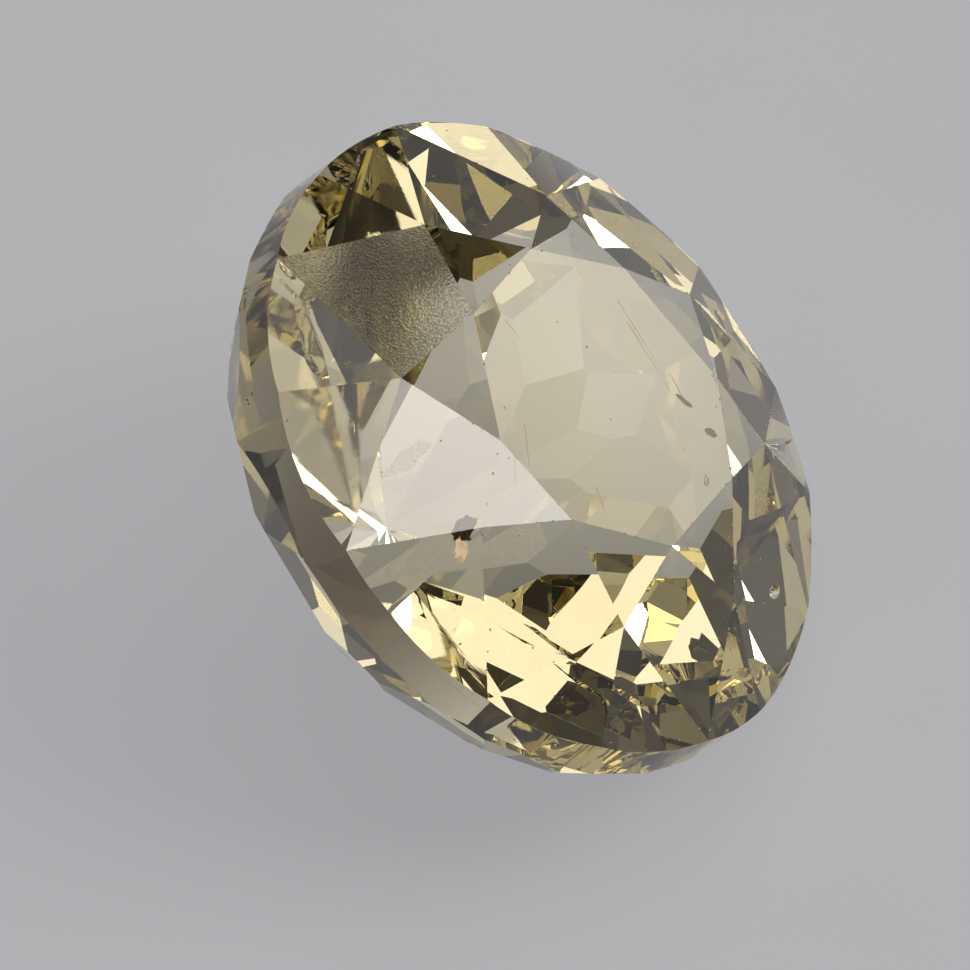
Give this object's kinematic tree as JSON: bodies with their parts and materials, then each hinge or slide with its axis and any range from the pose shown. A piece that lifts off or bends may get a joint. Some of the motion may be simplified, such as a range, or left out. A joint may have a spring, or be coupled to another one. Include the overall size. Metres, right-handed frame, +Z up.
{
  "type": "cut gemstone",
  "caption": "Round faceted gemstone with a flat table, kite and star facets, a polished girdle band and a pointed pavilion, lying tilted on one pavilion facet.",
  "frame": {"origin": "centre of the bounding box's foot, on the ground that the stone rests on", "axes": "+Z up; the table faces up and towards +X at 38.5 degrees from +Z; +Y is away from the viewer of the picture"},
  "size_m": [0.0076, 0.009, 0.0065],
  "materials": {
    "diaspore": "clear pale olive-champagne crystal, polished facets, one crown facet left frosted"
  },
  "bodies": {
    "root": {"diaspore_gem": "diaspore"}
  },
  "joints": []
}
